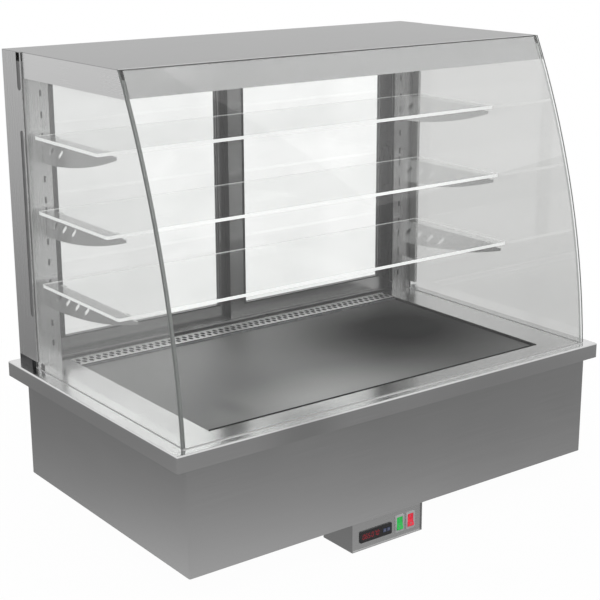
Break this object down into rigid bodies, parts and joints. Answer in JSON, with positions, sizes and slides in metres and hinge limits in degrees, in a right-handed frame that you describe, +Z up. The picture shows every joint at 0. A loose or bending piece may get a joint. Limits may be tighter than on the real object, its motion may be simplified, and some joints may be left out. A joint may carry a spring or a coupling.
{
  "type": "hot food display counter",
  "caption": "Worktop display counter for hot food with a recessed heated deck, glass shelves, a curved front glass and rear sliding doors.",
  "frame": {"origin": "centre of the worktop rim's lower edge, in the plane that rests on the worktop", "axes": "+Z up, -Y towards the customer and the curved front glass, +X to the customer's right"},
  "size_m": [1, 0.62, 0.889],
  "materials": {
    "stainless_steel": "satin",
    "casing_steel": "satin",
    "galvanised_steel": "matte",
    "heating_element": "matte",
    "mineral_wool": "matte",
    "motor_black": "satin",
    "black_plastic": "satin",
    "rubber_seal": "matte",
    "clear_glass": "polished",
    "lamp_glass": "frosted",
    "display_window": "gloss",
    "key_grey": "satin",
    "green_lens": "gloss",
    "red_lens": "gloss"
  },
  "bodies": {
    "counter": {"worktop_rim": "stainless_steel", "heated_deck": "stainless_steel", "air_grille": "stainless_steel", "bottom_track": "stainless_steel", "top_track": "stainless_steel", "jamb_left": "stainless_steel", "jamb_right": "stainless_steel", "post_left": "stainless_steel", "post_right": "stainless_steel", "canopy_shell": "stainless_steel", "canopy_end_left": "stainless_steel", "canopy_end_right": "stainless_steel", "canopy_pan": "stainless_steel", "bracket_top_left": "stainless_steel", "bracket_top_right": "stainless_steel", "bracket_middle_left": "stainless_steel", "bracket_middle_right": "stainless_steel", "bracket_bottom_left": "stainless_steel", "bracket_bottom_right": "stainless_steel", "tub_casing": "casing_steel", "service_cover": "casing_steel", "control_shell": "casing_steel", "control_face": "casing_steel", "deck_tray": "galvanised_steel", "air_duct": "galvanised_steel", "fan_shroud": "galvanised_steel", "heater_clips": "galvanised_steel", "deck_heater": "heating_element", "air_heater": "heating_element", "deck_probe": "heating_element", "insulation_slab": "mineral_wool", "fan_motor": "motor_black", "jamb_feet": "black_plastic", "glass_clips": "black_plastic", "controller_case": "black_plastic", "switch_housings": "black_plastic", "mains_gland": "black_plastic", "lamp_holders": "black_plastic", "glass_seals": "rubber_seal", "shelf_pads": "rubber_seal", "side_glass_left": "clear_glass", "side_glass_right": "clear_glass", "front_glass": "clear_glass", "shelf_top": "clear_glass", "shelf_middle": "clear_glass", "shelf_bottom": "clear_glass", "lamp_tube": "lamp_glass", "controller_window": "display_window"},
    "door_left": {"door_left_frame": "stainless_steel", "door_left_glass": "clear_glass", "door_left_pull": "black_plastic"},
    "door_right": {"door_right_frame": "stainless_steel", "door_right_glass": "clear_glass", "door_right_pull": "black_plastic"},
    "green_rocker": {"rocker_green": "green_lens"},
    "red_rocker": {"rocker_red": "red_lens"},
    "up_key": {"key_up": "key_grey"},
    "down_key": {"key_down": "key_grey"},
    "fan_wheel": {"fan_rotor": "galvanised_steel"}
  },
  "joints": [
    {"name": "door_left_slide", "type": "slide", "parent": "counter", "child": "door_left", "axis": [1, 0, 0], "range_m": [0, 0.422]},
    {"name": "door_right_slide", "type": "slide", "parent": "counter", "child": "door_right", "axis": [-1, 0, 0], "range_m": [0, 0.422]},
    {"name": "green_rocker_turn", "type": "hinge", "parent": "counter", "child": "green_rocker", "pos_m": [-0.011, -0.293, -0.22775], "axis": [1, 0, 0], "range_deg": [0, 16]},
    {"name": "red_rocker_turn", "type": "hinge", "parent": "counter", "child": "red_rocker", "pos_m": [0.0155, -0.293, -0.22775], "axis": [1, 0, 0], "range_deg": [0, 16]},
    {"name": "up_key_press", "type": "slide", "parent": "counter", "child": "up_key", "axis": [0, 1, 0], "range_m": [0, 0.0006], "stiffness_N_per_m": 300},
    {"name": "down_key_press", "type": "slide", "parent": "counter", "child": "down_key", "axis": [0, 1, 0], "range_m": [0, 0.0006], "stiffness_N_per_m": 300},
    {"name": "fan_spin", "type": "hinge", "parent": "counter", "child": "fan_wheel", "pos_m": [0, 0.2225, -0.105], "axis": [1, 0, 0], "continuous": true}
  ]
}
